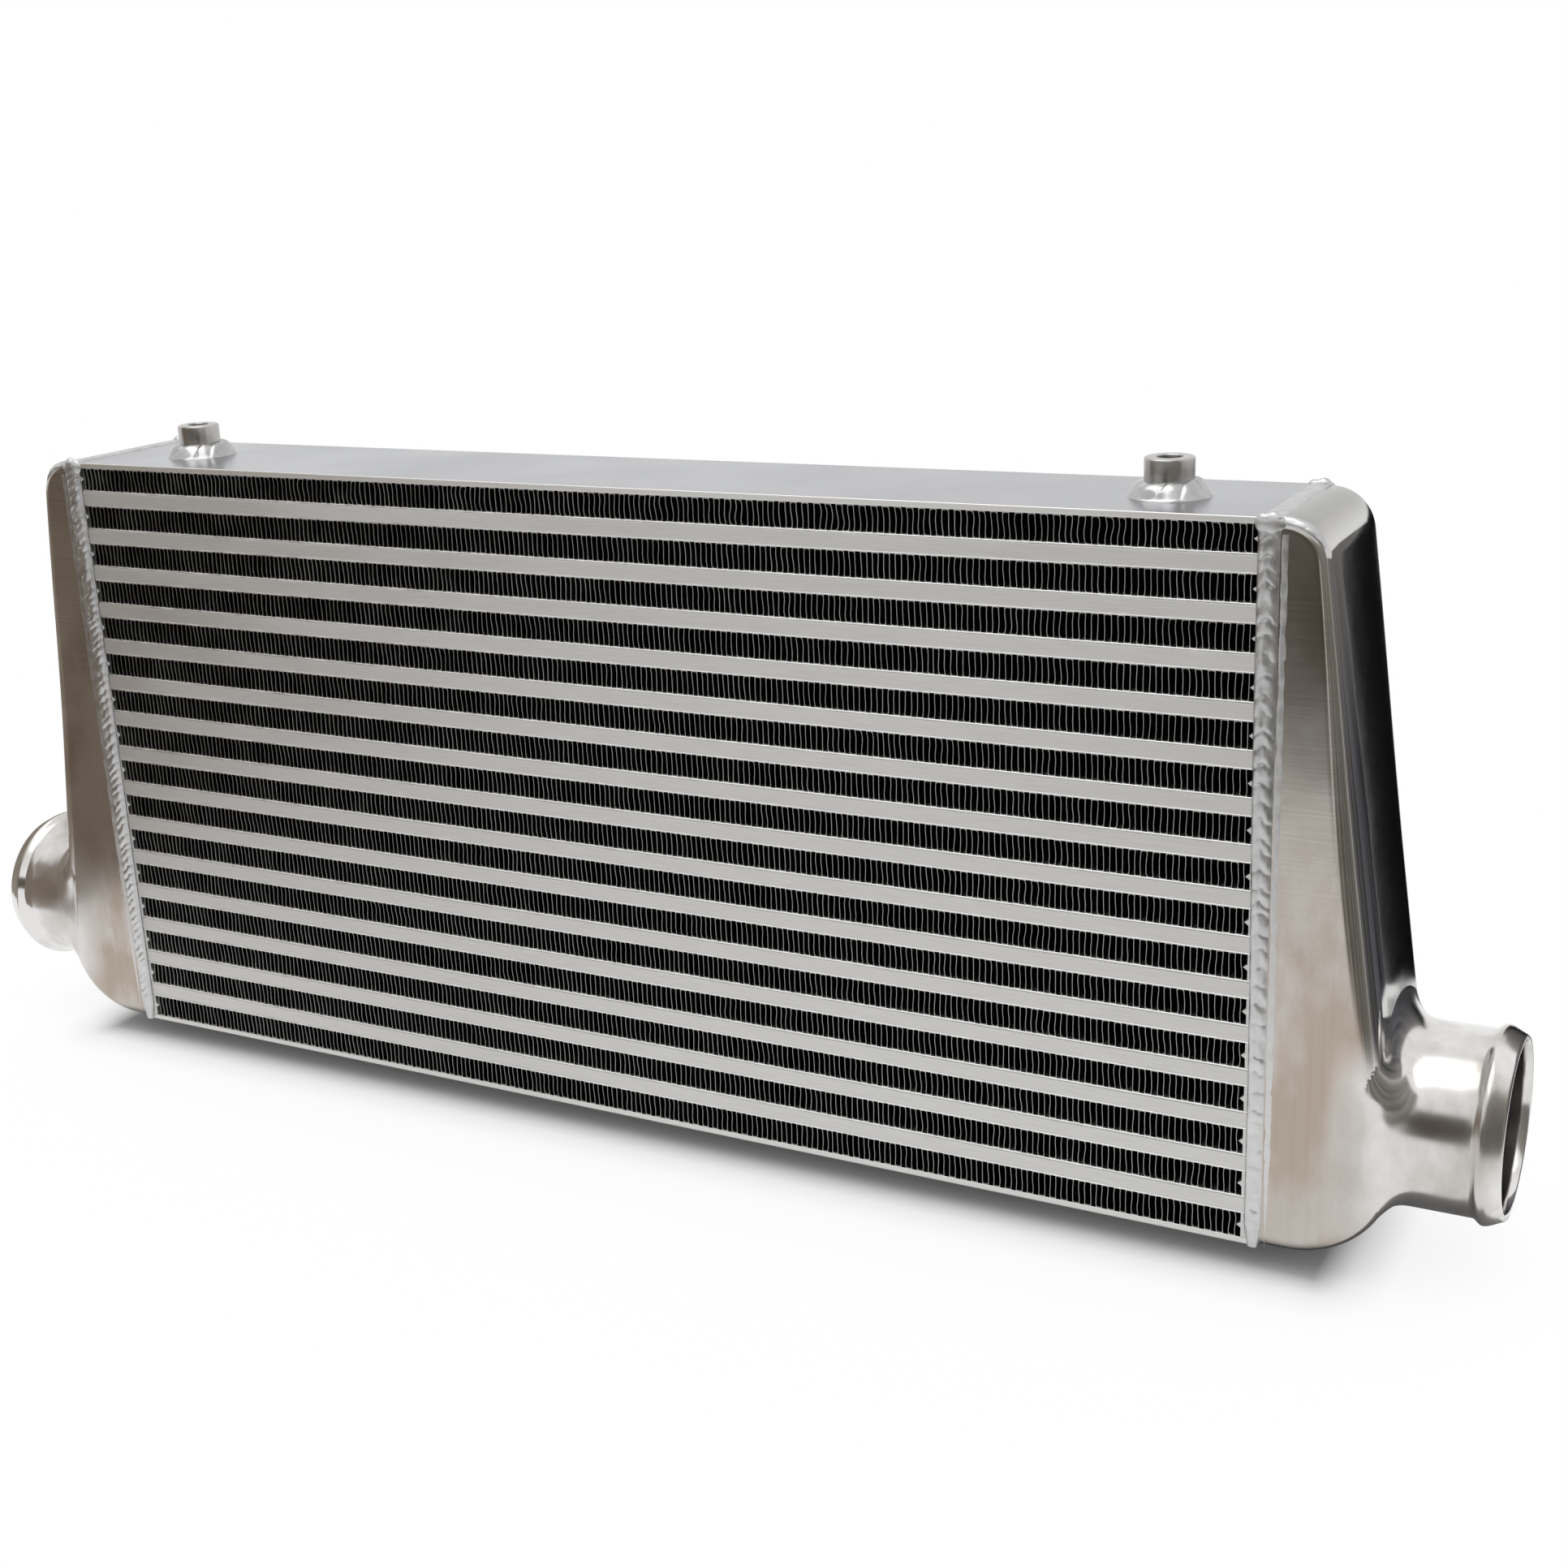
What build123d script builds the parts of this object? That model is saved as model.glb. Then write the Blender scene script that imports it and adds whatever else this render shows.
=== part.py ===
from build123d import *
import math
import os

# An air-to-air intercooler of aluminium: a brazed bar-and-plate core between two welded end tanks.
# Cooling air passes from front to back through the open fin rows.
# Charge air passes from one tank to the other through the closed passages between them.
#
# X runs along the core to the right, Y from its front to its back, and Z up.
# The origin is the middle of the core's underside. All sizes are in millimetres.

# Core
CORE_WIDTH = 600.0
CORE_DEPTH = 76.0
SIDE_PLATE = 2.8
PARTING_SHEET = 0.7

# Cooling fin rows, open at the front and back
FIN_ROWS = 16
FIN_HEIGHT = 10.9
FIN_SHEET = 0.15
FIN_LEG_SPACING = 2.6
FIN_SET_BACK = 0.5
FIN_END_GAP = 0.4
END_BAR = 4.0
END_BAR_NOSE = 1.8
END_BAR_NOSE_HEIGHT = 2.6

# Charge air passages, open at the ends
PASSAGE_BAR_HEIGHT = 6.6
PASSAGE_BAR_DEPTH = 8.0
TURBULATOR_SHEET = 0.2
TURBULATOR_LEG_SPACING = 2.5
TURBULATOR_SET_BACK = 2.0
TURBULATOR_SIDE_GAP = 0.3

# One modelled fold stands for this many real ones, and is thickened so that the weight holds
FOLDS_IN_ONE = 10

# End tanks: their walls stand a little proud of the core, and they widen towards the bottom
TANK_STEP = 1.0
TANK_WALL = 3.0
TANK_TOP_WIDTH = 20.6
TANK_BOTTOM_WIDTH = 61.7
TANK_TOP_CORNER = 18.0
TANK_LOW_CORNER = 42.0
TANK_EDGE = 10.0

# Hose necks, each with a bead that holds the hose
NECK_DIAMETER = 76.0
NECK_WALL = 3.5
NECK_HEIGHT = 54.0
NECK_REACH = 95.5
NECK_ROOT_FILLET = 11.0
BEAD_HEIGHT = 2.3
BEAD_RISE = 2.5
BEAD_LAND = 2.0
BEAD_TO_RIM = 7.0
RIM_DROP = 0.8

# Weld along each seam between core and tank
SEAM_WELD_OVER_CORE = 4.2
SEAM_WELD_OVER_TANK = 6.0
SEAM_WELD_CROWN = 1.4
TOP_WELD_OVER_CORE = 3.5
TOP_WELD_OVER_TANK = 4.5
TOP_WELD_CROWN = 0.6

# Threaded mounting bosses, welded to the top side plate
BOSS_DIAMETER = 20.0
BOSS_HEIGHT = 15.0
BOSS_SPREAD = 500.0
THREAD_CORE_DIAMETER = 8.5
THREAD_DEPTH = 12.0
BOSS_WELD_DIAMETER = 37.0
BOSS_WELD_HEIGHT = 6.0

# Sizes that follow
passage_height = PASSAGE_BAR_HEIGHT + 2 * PARTING_SHEET
row_pitch = FIN_HEIGHT + passage_height
core_height = 2 * SIDE_PLATE + FIN_ROWS * FIN_HEIGHT + (FIN_ROWS - 1) * passage_height
seam = CORE_WIDTH / 2
core_front = -CORE_DEPTH / 2
tank_half_depth = CORE_DEPTH / 2 + TANK_STEP
neck_radius = NECK_DIAMETER / 2
neck_bore = neck_radius - NECK_WALL
neck_end = seam + NECK_REACH
# The neck starts inside the tank's narrowest part, and the tank's outer surface trims it.
neck_start = seam + TANK_TOP_WIDTH / 2
fin_row_floors = [SIDE_PLATE + row * row_pitch for row in range(FIN_ROWS)]
passage_floors = [floor + FIN_HEIGHT for floor in fin_row_floors[:-1]]

# A box or cylinder that stands on its base, centred
from_base = (Align.CENTER, Align.CENTER, Align.MIN)

os.makedirs("parts", exist_ok=True)


def save(piece, name):
    piece.part.label = name
    export_step(piece.part, f"parts/{name}.step")


def corrugation(length, height, sheet, leg_spacing):
    """Corners of a folded sheet's section, with its folds touching the lines 0 and height."""
    legs = max(2, round(length / (FOLDS_IN_ONE * leg_spacing)))
    step = length / legs
    thickness = sheet * math.hypot(leg_spacing, height) / leg_spacing
    peak = height - thickness
    under = [(leg * step - length / 2, peak * (leg % 2)) for leg in range(legs + 1)]
    over = [(along, rise + thickness) for along, rise in reversed(under)]
    return under + over


# ---- Core ----

with BuildPart() as bottom_side_plate:
    Box(CORE_WIDTH, CORE_DEPTH, SIDE_PLATE, align=from_base)
save(bottom_side_plate, "bottom_side_plate")

with BuildPart() as top_side_plate:
    with Locations((0, 0, core_height)):
        Box(CORE_WIDTH, CORE_DEPTH, SIDE_PLATE, align=(Align.CENTER, Align.CENTER, Align.MAX))
save(top_side_plate, "top_side_plate")

# Corrugated cooling fins, folded across X and open from front to back
fin_length = CORE_WIDTH - 2 * (END_BAR + END_BAR_NOSE + FIN_END_GAP)
fin_section = corrugation(fin_length, FIN_HEIGHT, FIN_SHEET, FIN_LEG_SPACING)
for number, floor in enumerate(fin_row_floors, start=1):
    with BuildPart() as cooling_fin:
        with BuildSketch(Plane.XZ.shift_origin((0, 0, floor))):
            with BuildLine():
                Polyline(fin_section, close=True)
            make_face()
        extrude(amount=CORE_DEPTH / 2 - FIN_SET_BACK, both=True)
    save(cooling_fin, f"cooling_fin_{number:02d}")

# Corrugated turbulators, folded across Y and open from tank to tank
turbulator_width = CORE_DEPTH - 2 * (PASSAGE_BAR_DEPTH + TURBULATOR_SIDE_GAP)
turbulator_section = corrugation(
    turbulator_width, PASSAGE_BAR_HEIGHT, TURBULATOR_SHEET, TURBULATOR_LEG_SPACING
)
for number, floor in enumerate(passage_floors, start=1):
    with BuildPart() as turbulator:
        with BuildSketch(Plane.YZ.shift_origin((0, 0, floor + PARTING_SHEET))):
            with BuildLine():
                Polyline(turbulator_section, close=True)
            make_face()
        extrude(amount=seam - TURBULATOR_SET_BACK, both=True)
    save(turbulator, f"turbulator_{number:02d}")

# Parting sheets, one below and one above each charge air passage
sheet_floors = passage_floors + [floor + passage_height - PARTING_SHEET for floor in passage_floors]
with BuildPart() as parting_sheets:
    with Locations([(0, 0, floor) for floor in sheet_floors]):
        Box(CORE_WIDTH, CORE_DEPTH, PARTING_SHEET, align=from_base)
save(parting_sheets, "parting_sheets")

# Long bars, which close the charge air passages at the front and at the back
with BuildPart() as front_long_bars:
    with Locations([(0, core_front, floor + PARTING_SHEET) for floor in passage_floors]):
        Box(
            CORE_WIDTH,
            PASSAGE_BAR_DEPTH,
            PASSAGE_BAR_HEIGHT,
            align=(Align.CENTER, Align.MIN, Align.MIN),
        )
save(front_long_bars, "front_long_bars")

with BuildPart() as rear_long_bars:
    mirror(front_long_bars.part, about=Plane.XZ)
save(rear_long_bars, "rear_long_bars")

# End bars, which close the fin rows at each end, with a small V nose towards the fins
with BuildPart() as right_end_bars:
    with BuildSketch(Plane.XZ):
        with Locations([(seam, floor + FIN_HEIGHT / 2) for floor in fin_row_floors]):
            Rectangle(END_BAR, FIN_HEIGHT, align=(Align.MAX, Align.CENTER))
            Polygon(
                (-END_BAR, -END_BAR_NOSE_HEIGHT / 2),
                (-END_BAR - END_BAR_NOSE, 0),
                (-END_BAR, END_BAR_NOSE_HEIGHT / 2),
                align=None,
            )
    extrude(amount=CORE_DEPTH / 2, both=True)
save(right_end_bars, "right_end_bars")

with BuildPart() as left_end_bars:
    mirror(right_end_bars.part, about=Plane.YZ)
save(left_end_bars, "left_end_bars")

# ---- End tanks, hose necks and seam welds ----
#
# Front and back are alike, so turned half round, each right piece is the left one.


def tank_section(open_edge):
    """The right tank's outline seen from the front, from its open edge to its sloping outer wall."""
    with BuildSketch(Plane.XZ) as section:
        with BuildLine():
            Polyline(
                (open_edge, 0),
                (seam + TANK_BOTTOM_WIDTH, 0),
                (seam + TANK_TOP_WIDTH, core_height),
                (open_edge, core_height),
                close=True,
            )
        make_face()
        outer_corners = section.vertices().group_by(Axis.X)[1:]
        fillet(outer_corners[1], TANK_LOW_CORNER)
        fillet(outer_corners[0], TANK_TOP_CORNER)
    return section.sketch


def side_edges(form):
    """A tank form's front and back edges, all but those along its open side."""
    edges_by_depth = form.edges().group_by(Axis.Y)
    return edges_by_depth[0].sort_by(Axis.X)[1:] + edges_by_depth[-1].sort_by(Axis.X)[1:]


# The tank's outer form, still solid
with BuildPart() as tank_form:
    extrude(tank_section(seam), amount=tank_half_depth, both=True)
    fillet(side_edges(tank_form), TANK_EDGE)

# The room inside it, with its edges bevelled so that the wall keeps its thickness behind the fillet
with BuildPart() as tank_room:
    room_section = offset(tank_section(seam - TANK_WALL), amount=-TANK_WALL, mode=Mode.PRIVATE)
    extrude(room_section, amount=tank_half_depth - TANK_WALL, both=True)
    chamfer(side_edges(tank_room), (TANK_EDGE - TANK_WALL) * (2 - math.sqrt(2)))

neck_base = Location((neck_start, 0, NECK_HEIGHT), (0, 90, 0))

# Each tank is that form hollowed out, open towards the core and bored for its neck
with BuildPart() as end_tanks:
    add(tank_form.part)
    add(tank_room.part, mode=Mode.SUBTRACT)
    with Locations(neck_base):
        Cylinder(neck_bore, neck_end - neck_start, align=from_base, mode=Mode.SUBTRACT)
    mirror(about=Plane.YZ)
save(end_tanks, "end_tanks")

# Each neck is a tube cut to the tank's outer surface, with its root weld dressed to a fillet,
# and a bead near its mouth
bead_end = neck_end - BEAD_TO_RIM
bead_start = bead_end - BEAD_LAND - BEAD_RISE
with BuildPart() as hose_necks:
    add(tank_form.part)
    with Locations(neck_base):
        Cylinder(neck_radius, bead_start - neck_start, align=from_base)
    fillet(hose_necks.edges(Select.NEW), NECK_ROOT_FILLET)
    add(tank_form.part, mode=Mode.SUBTRACT)
    with BuildSketch(Plane.XZ.shift_origin((0, 0, NECK_HEIGHT))):
        with BuildLine():
            Polyline(
                (bead_start, 0),
                (bead_start, neck_radius),
                (bead_end - BEAD_LAND, neck_radius + BEAD_HEIGHT),
                (bead_end, neck_radius + BEAD_HEIGHT),
                (neck_end, neck_radius - RIM_DROP),
                (neck_end, 0),
                close=True,
            )
        make_face()
    revolve(axis=Axis((0, 0, NECK_HEIGHT), (1, 0, 0)))
    with Locations(neck_base):
        Cylinder(neck_bore, neck_end - neck_start, align=from_base, mode=Mode.SUBTRACT)
    mirror(about=Plane.YZ)
save(hose_necks, "hose_necks")

# The seam weld: a crowned bead down the front and back, and a low one across the top
with BuildPart() as seam_welds:
    with BuildSketch(Plane.XY):
        with BuildLine():
            core_toe = (seam - SEAM_WELD_OVER_CORE, core_front)
            tank_toe = (seam + SEAM_WELD_OVER_TANK, -tank_half_depth)
            crest = (seam, -tank_half_depth - SEAM_WELD_CROWN)
            ThreePointArc(core_toe, crest, tank_toe)
            root = core_front + TANK_EDGE
            Polyline(tank_toe, (tank_toe[0], root), (core_toe[0], root), core_toe)
        make_face()
    extrude(amount=core_height)
    mirror(about=Plane.XZ)
    with BuildSketch(Plane.XZ):
        with BuildLine():
            over_core = (seam - TOP_WELD_OVER_CORE, core_height)
            over_tank = (seam + TOP_WELD_OVER_TANK, core_height)
            top_crest = (seam, core_height + TOP_WELD_CROWN)
            ThreePointArc(over_core, top_crest, over_tank)
            Line(over_tank, over_core)
        make_face()
    extrude(amount=tank_half_depth, both=True)
    Box(CORE_WIDTH, CORE_DEPTH, core_height, align=from_base, mode=Mode.SUBTRACT)
    add(tank_form.part, mode=Mode.SUBTRACT)
    mirror(about=Plane.YZ)
save(seam_welds, "seam_welds")

# ---- Mounting bosses ----

boss_feet = [(-BOSS_SPREAD / 2, 0), (BOSS_SPREAD / 2, 0)]
boss_radius = BOSS_DIAMETER / 2

with BuildPart(Plane.XY.offset(core_height)) as bosses:
    with Locations(boss_feet):
        Cylinder(boss_radius, BOSS_HEIGHT, align=from_base)
    with Locations([(x, y, BOSS_HEIGHT) for x, y in boss_feet]):
        Hole(THREAD_CORE_DIAMETER / 2, depth=THREAD_DEPTH)
save(bosses, "bosses")

with BuildPart(Plane.XY.offset(core_height)) as boss_welds:
    with Locations(boss_feet):
        Cone(BOSS_WELD_DIAMETER / 2, boss_radius, BOSS_WELD_HEIGHT, align=from_base)
        Cylinder(boss_radius, BOSS_WELD_HEIGHT, align=from_base, mode=Mode.SUBTRACT)
save(boss_welds, "boss_welds")
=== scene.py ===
"""Looks of an aluminium intercooler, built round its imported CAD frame.

X is to the right, Y from front to back, Z up. The object's lengths are in millimetres, which mesh_piece()
and solid_mesh() turn into Blender's metres. Those of the floor, cards, lamp and camera are in metres.
"""

import math
import random

import bmesh
import bpy
from mathutils import Matrix, Vector, noise


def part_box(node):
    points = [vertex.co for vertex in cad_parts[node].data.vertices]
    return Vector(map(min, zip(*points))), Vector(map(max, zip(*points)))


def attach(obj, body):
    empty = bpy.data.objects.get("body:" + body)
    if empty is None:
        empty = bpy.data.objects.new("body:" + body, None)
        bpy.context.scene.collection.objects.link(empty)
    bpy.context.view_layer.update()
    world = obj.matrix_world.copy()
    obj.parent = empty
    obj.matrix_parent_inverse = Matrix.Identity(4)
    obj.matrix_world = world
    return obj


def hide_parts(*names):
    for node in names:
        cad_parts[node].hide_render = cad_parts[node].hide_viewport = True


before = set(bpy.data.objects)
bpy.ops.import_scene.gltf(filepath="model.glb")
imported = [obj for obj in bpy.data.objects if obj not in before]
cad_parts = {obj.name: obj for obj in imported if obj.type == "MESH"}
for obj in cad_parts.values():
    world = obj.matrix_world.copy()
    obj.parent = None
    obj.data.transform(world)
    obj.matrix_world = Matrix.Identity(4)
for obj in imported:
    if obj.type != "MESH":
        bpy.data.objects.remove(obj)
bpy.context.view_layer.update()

MM = 0.001
random.seed(7)

# Sizes that the frame's boxes don't give; they are the CAD's own
SEAM = 300.0
TANK_TOP_WIDTH = 20.6
TANK_BOTTOM_WIDTH = 61.7
TANK_TOP_CORNER = 18.0
TANK_LOW_CORNER = 42.0
TANK_WALL = 3.0
NECK_RADIUS = 38.0
NECK_HEIGHT = 54.0
NECK_BORE = 34.5
NECK_END = 395.5
BOSS_X = 250.0
BOSS_RADIUS = 10.0
BOSS_WELD_RADIUS = 18.5
THREAD_RADIUS = 4.25


def box_mm(node):
    """The two corners of a node's box."""
    low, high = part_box(node)
    return low / MM, high / MM


core_low, core_high = box_mm("top_side_plate")
_, tank_high = box_mm("end_tanks")
CORE_FRONT = core_low.y  # below zero: the core is centred
CORE_TOP = core_high.z
TANK_HALF_DEPTH = tank_high.y

# ---- Mesh helpers ----


def mesh_piece(name, points, faces, material, replaced=(), smooth=True, sharp_above=40):
    """A new piece from points in millimetres, which rides with the part and takes a material slot."""
    mesh = bpy.data.meshes.new(name)
    mesh.from_pydata([Vector(p) * MM for p in points], [], faces)
    return finish_mesh(name, mesh, material, replaced, smooth, sharp_above)


def finish_mesh(name, mesh, material, replaced=(), smooth=True, sharp_above=40):
    """A new piece from a mesh in metres, shaded smooth but for its sharp edges."""
    grid = bmesh.new()
    grid.from_mesh(mesh)
    bmesh.ops.remove_doubles(grid, verts=grid.verts, dist=0.001 * MM)
    bmesh.ops.recalc_face_normals(grid, faces=grid.faces)
    for face in grid.faces:
        face.smooth = smooth
    for edge in grid.edges:
        edge.smooth = edge.calc_face_angle(0) < math.radians(sharp_above)
    grid.to_mesh(mesh)
    grid.free()
    piece = bpy.data.objects.new(name, mesh)
    bpy.context.scene.collection.objects.link(piece)
    mesh.materials.clear()
    mesh.materials.append(material)
    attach(piece, "root")
    if replaced:
        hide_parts(*replaced)
    return piece


def grid_faces(rows, columns, wrap=False, start=0):
    """Quads between rows of points, each of the same number of columns; wrap closes each row on itself."""
    last = columns if wrap else columns - 1
    return [
        (
            start + row * columns + column,
            start + row * columns + (column + 1) % columns,
            start + (row + 1) * columns + (column + 1) % columns,
            start + (row + 1) * columns + column,
        )
        for row in range(rows - 1)
        for column in range(last)
    ]


def lathe(profile, steps, centre, axis="z"):
    """Points and quads of a profile of (radius, along) turned round an axis through centre."""
    points = []
    for radius, along in profile:
        for step in range(steps):
            turn = 2 * math.pi * step / steps
            across, up = radius * math.sin(turn), radius * math.cos(turn)
            offset = (along, across, up) if axis == "x" else (across, up, along)
            points.append(tuple(c + o for c, o in zip(centre, offset)))
    return points, grid_faces(len(profile), steps, wrap=True)


def moved_on(faces, count):
    """The same faces for points that come after count others."""
    return [tuple(index + count for index in face) for face in faces]


def mirrored(points):
    """The same points on the left end."""
    return [(-x, y, z) for x, y, z in points]


def bevelled_copy(name, nodes, width, segments, material):
    """The CAD nodes' own form with its edges softened."""
    joined = bmesh.new()
    for node in nodes:
        joined.from_mesh(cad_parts[node].data)
    bmesh.ops.remove_doubles(joined, verts=joined.verts, dist=0.001 * MM)
    bmesh.ops.dissolve_limit(joined, angle_limit=math.radians(1), verts=joined.verts, edges=joined.edges)
    edges = [edge for edge in joined.edges if edge.calc_face_angle(0) > math.radians(30)]
    bmesh.ops.bevel(
        joined, geom=edges, offset=width * MM, segments=segments, profile=0.5, affect="EDGES"
    )
    mesh = bpy.data.meshes.new(name)
    joined.to_mesh(mesh)
    joined.free()
    return finish_mesh(name, mesh, material, nodes, sharp_above=8)


# ---- Materials ----


class Shader:
    """A material with its nodes close at hand, metal unless its user changes that."""

    def __init__(self, name, roughness):
        self.material = bpy.data.materials.new(name)
        self.material.use_nodes = True
        self.tree = self.material.node_tree
        self.surface = self.tree.nodes["Principled BSDF"]
        self.surface.inputs["Metallic"].default_value = 1.0
        self.surface.inputs["Roughness"].default_value = roughness
        self.place = self.add("ShaderNodeTexCoord").outputs["Object"]

    def add(self, kind, **settings):
        node = self.tree.nodes.new(kind)
        for key, value in settings.items():
            setattr(node, key, value)
        return node

    def link(self, source, target):
        self.tree.links.new(source, target)

    def stretched(self, scale):
        """Object coordinates scaled by a different factor on each axis, per metre."""
        mapping = self.add("ShaderNodeMapping")
        mapping.inputs["Scale"].default_value = scale
        self.link(self.place, mapping.inputs["Vector"])
        return mapping.outputs["Vector"]

    def noise(self, scale, detail=3.0, stretch=None):
        texture = self.add("ShaderNodeTexNoise")
        texture.inputs["Scale"].default_value = scale
        texture.inputs["Detail"].default_value = detail
        self.link(self.stretched(stretch) if stretch else self.place, texture.inputs["Vector"])
        return texture.outputs["Fac"]

    def ramp(self, source, stops):
        ramp = self.add("ShaderNodeValToRGB")
        elements = ramp.color_ramp.elements
        for element, (position, colour) in zip(elements, (stops[0], stops[-1])):
            element.position = position
            element.color = (*colour, 1)
        for position, colour in stops[1:-1]:
            elements.new(position).color = (*colour, 1)
        self.link(source, ramp.inputs["Fac"])
        return ramp.outputs["Color"]

    def span(self, source, low, high, to_low=0.0, to_high=1.0):
        change = self.add("ShaderNodeMapRange")
        change.inputs["From Min"].default_value = low
        change.inputs["From Max"].default_value = high
        change.inputs["To Min"].default_value = to_low
        change.inputs["To Max"].default_value = to_high
        self.link(source, change.inputs["Value"])
        return change.outputs["Result"]

    def axis(self, name):
        split = self.add("ShaderNodeSeparateXYZ")
        self.link(self.place, split.inputs["Vector"])
        return split.outputs[name]

    def facing(self, name):
        """How squarely the surface faces along an axis of the object, from 0 to 1."""
        split = self.add("ShaderNodeSeparateXYZ")
        self.link(self.add("ShaderNodeTexCoord").outputs["Normal"], split.inputs["Vector"])
        size = self.add("ShaderNodeMath", operation="ABSOLUTE")
        self.link(split.outputs[name], size.inputs[0])
        return size.outputs[0]

    def distance(self, centre, counted=(1, 1, 1), outside=False):
        """How far |coordinates| are from a centre along the counted axes, or how far outside a box."""
        steps = [("ABSOLUTE", None), ("SUBTRACT", centre), ("MULTIPLY", counted)]
        if outside:
            steps.append(("MAXIMUM", (0, 0, 0)))
        vector = self.place
        for operation, operand in steps:
            step = self.add("ShaderNodeVectorMath", operation=operation)
            self.link(vector, step.inputs[0])
            if operand:
                step.inputs[1].default_value = operand
            vector = step.outputs["Vector"]
        length = self.add("ShaderNodeVectorMath", operation="LENGTH")
        self.link(vector, length.inputs[0])
        return length.outputs["Value"]

    def math(self, operation, first, second):
        """One sum on two sockets."""
        node = self.add("ShaderNodeMath", operation=operation)
        self.link(first, node.inputs[0])
        self.link(second, node.inputs[1])
        return node.outputs[0]

    def mix(self, amount, first, second):
        """Colour mix; each of first and second is a socket or a colour."""
        mix = self.add("ShaderNodeMix", data_type="RGBA")
        factor, one, two = mix.inputs[0], mix.inputs[6], mix.inputs[7]
        for value, socket in ((amount, factor), (first, one), (second, two)):
            if isinstance(value, bpy.types.NodeSocket):
                self.link(value, socket)
            elif isinstance(value, tuple):
                socket.default_value = (*value, 1)
            else:
                socket.default_value = value
        return mix.outputs[2]

    def bump(self, height, strength, distance, after=None):
        bump = self.add("ShaderNodeBump")
        bump.inputs["Strength"].default_value = strength
        bump.inputs["Distance"].default_value = distance * MM
        self.link(height, bump.inputs["Height"])
        if after:
            self.link(after, bump.inputs["Normal"])
        self.link(bump.outputs["Normal"], self.surface.inputs["Normal"])
        return bump.outputs["Normal"]

    def colour(self, source):
        self.link(source, self.surface.inputs["Base Color"])

    def roughness(self, source):
        self.link(source, self.surface.inputs["Roughness"])


def fin_material():
    """Light folded edges at the faces, which fall off to near black inside the core: painted shade,
    standing in for the shadow between the fins.
    """
    metal = Shader("folded_fin_sheet", 0.5)
    inside = metal.span(metal.distance((0, 0, 0), (0, 1, 0)), 36.9 * MM, 37.35 * MM)
    grime = metal.noise(60.0, 4.0)
    edge = metal.ramp(grime, [(0.3, (0.36, 0.36, 0.35)), (0.7, (0.55, 0.55, 0.54))])
    # The fins deeper than the faces are painted near black: painted shade in the core's recesses.
    dark = metal.ramp(grime, [(0.3, (0.013, 0.012, 0.011)), (0.75, (0.038, 0.036, 0.034))])
    metal.colour(metal.mix(inside, dark, edge))
    metal.roughness(metal.span(grime, 0.3, 0.7, 0.42, 0.6))
    return metal.material


def bar_material():
    """Drawn bar: satin, with a faint grain along it and slight stains from brazing."""
    metal = Shader("drawn_bar", 0.42)
    stain = metal.noise(9.0, 5.0, (1, 1, 3))
    fine = metal.noise(1.0, 3.0, (60, 900, 2600))
    base = metal.ramp(stain, [(0.3, (0.69, 0.685, 0.67)), (0.7, (0.79, 0.785, 0.775))])
    grain = metal.ramp(fine, [(0.35, (0.55, 0.54, 0.53)), (0.65, (0.78, 0.775, 0.76))])
    metal.colour(metal.mix(0.25, base, grain))
    metal.roughness(metal.span(stain, 0.3, 0.7, 0.52, 0.64))
    metal.bump(fine, 0.25, 0.05)
    return metal.material


def sheet_material():
    """Edges of the clad sheets, bright with filler metal."""
    metal = Shader("clad_sheet_edge", 0.35)
    cloud = metal.noise(120.0, 3.0)
    metal.colour(metal.ramp(cloud, [(0.3, (0.72, 0.715, 0.70)), (0.65, (0.93, 0.925, 0.91))]))
    metal.roughness(metal.span(cloud, 0.3, 0.7, 0.3, 0.5))
    return metal.material


def plate_material():
    """Bright rolled plate, nearly a mirror, with a faint rolling grain. Its front and back edges are
    rougher, as sawn, and painted lighter as a highlight.
    """
    metal = Shader("rolled_plate", 0.2)
    grain = metal.noise(1.0, 3.0, (14, 700, 700))
    cloud = metal.noise(14.0, 4.0)
    top = metal.ramp(cloud, [(0.3, (0.305, 0.31, 0.33)), (0.7, (0.355, 0.36, 0.38))])
    # The front and back edges are painted light, a painted highlight, on edges that are also rougher as
    # sawn.
    sawn_edge_highlight = metal.span(metal.facing("Y"), 0.3, 0.7)
    metal.colour(metal.mix(sawn_edge_highlight, top, (0.78, 0.77, 0.75)))
    rolled = metal.span(cloud, 0.3, 0.7, 0.18, 0.3)
    metal.roughness(metal.mix(sawn_edge_highlight, rolled, (0.48, 0.48, 0.48)))
    wave = metal.bump(metal.noise(18.0, 1.0), 0.2, 0.25)
    metal.bump(grain, 0.12, 0.03, wave)
    return metal.material


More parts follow.
